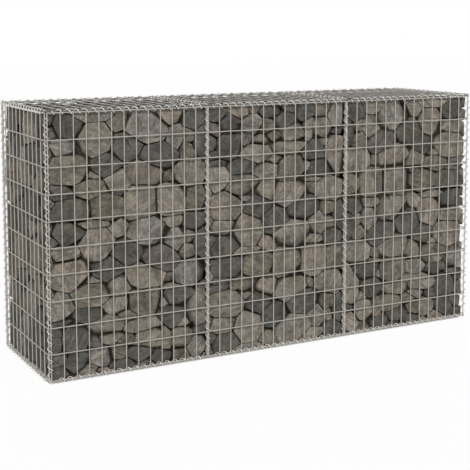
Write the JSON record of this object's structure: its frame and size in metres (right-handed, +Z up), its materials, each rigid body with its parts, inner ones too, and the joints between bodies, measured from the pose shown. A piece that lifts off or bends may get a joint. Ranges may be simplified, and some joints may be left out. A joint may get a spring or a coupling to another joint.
{
  "type": "gabion wall",
  "caption": "Free-standing gabion wall: stone-filled cages of welded wire mesh in a row, laced together along every edge with spiral binders.",
  "frame": {"origin": "on the ground, under the middle of the wall", "axes": "+Z up, +X along the wall, the front face towards -Y"},
  "size_m": [1.997, 0.584, 1.0303],
  "materials": {
    "galvanised_wire": "dull galvanised",
    "field_stone": "rough natural stone"
  },
  "bodies": {
    "root": {"front_panel_left": "galvanised_wire", "front_panel_middle": "galvanised_wire", "front_panel_right": "galvanised_wire", "back_panel_left": "galvanised_wire", "back_panel_middle": "galvanised_wire", "back_panel_right": "galvanised_wire", "end_panel_left": "galvanised_wire", "end_panel_right": "galvanised_wire", "divider_panel_left": "galvanised_wire", "divider_panel_right": "galvanised_wire", "base_panel_left": "galvanised_wire", "base_panel_middle": "galvanised_wire", "base_panel_right": "galvanised_wire", "cover_panel_left": "galvanised_wire", "cover_panel_middle": "galvanised_wire", "cover_panel_right": "galvanised_wire", "corner_spiral_front_left": "galvanised_wire", "corner_spiral_front_right": "galvanised_wire", "corner_spiral_back_left": "galvanised_wire", "corner_spiral_back_right": "galvanised_wire", "seam_spiral_front_left": "galvanised_wire", "seam_spiral_front_right": "galvanised_wire", "seam_spiral_back_left": "galvanised_wire", "seam_spiral_back_right": "galvanised_wire", "top_spiral_front": "galvanised_wire", "top_spiral_back": "galvanised_wire", "top_spiral_end_left": "galvanised_wire", "top_spiral_end_right": "galvanised_wire", "top_spiral_seam_left": "galvanised_wire", "top_spiral_seam_right": "galvanised_wire", "bottom_spiral_front": "galvanised_wire", "bottom_spiral_back": "galvanised_wire", "bottom_spiral_end_left": "galvanised_wire", "bottom_spiral_end_right": "galvanised_wire", "bottom_spiral_seam_left": "galvanised_wire", "bottom_spiral_seam_right": "galvanised_wire", "stone_fill_left": "field_stone", "stone_fill_middle": "field_stone", "stone_fill_right": "field_stone"}
  },
  "joints": []
}
